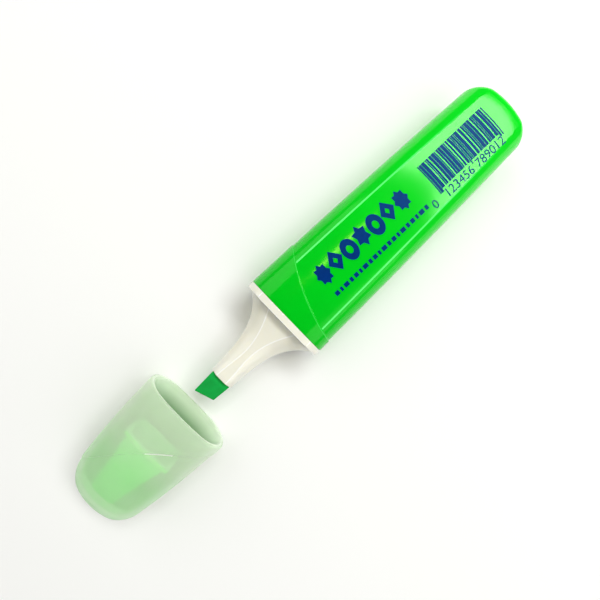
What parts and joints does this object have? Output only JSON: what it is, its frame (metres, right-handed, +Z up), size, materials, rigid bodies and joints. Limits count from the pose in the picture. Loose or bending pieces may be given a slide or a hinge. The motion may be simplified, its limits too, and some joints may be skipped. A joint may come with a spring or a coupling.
{
  "type": "highlighter pen",
  "caption": "Flat pocket highlighter: chisel felt nib fed by an ink fibre in a closed barrel, with a frosted pull-off cap that slides on along the pen's axis.",
  "frame": {"origin": "centre of the bounding box of pen and open cap, on the surface they lie on", "axes": "+X from the nib toward the closed end of the barrel, +Y across the wide side, +Z up"},
  "size_m": [0.164, 0.029, 0.0167],
  "materials": {
    "barrel_green": "gloss, slightly translucent fluorescent",
    "nose_ivory": "satin, translucent",
    "felt_green": "felt, ink soaked",
    "fibre_green": "bundled fibre, ink soaked",
    "film_clear": "clear film",
    "cap_frosted": "frosted, translucent",
    "seal_tinted": "frosted, stained by ink"
  },
  "bodies": {
    "pen": {"barrel": "barrel_green", "nose": "nose_ivory", "nib": "felt_green", "reservoir_core": "fibre_green", "reservoir_sleeve": "film_clear"},
    "cap": {"cap_shell": "cap_frosted", "cap_inner_seal": "seal_tinted"}
  },
  "joints": [
    {"name": "cap_slide", "type": "slide", "parent": "pen", "child": "cap", "axis": [1, 0, 0], "range_m": [0, 0.0374]}
  ]
}
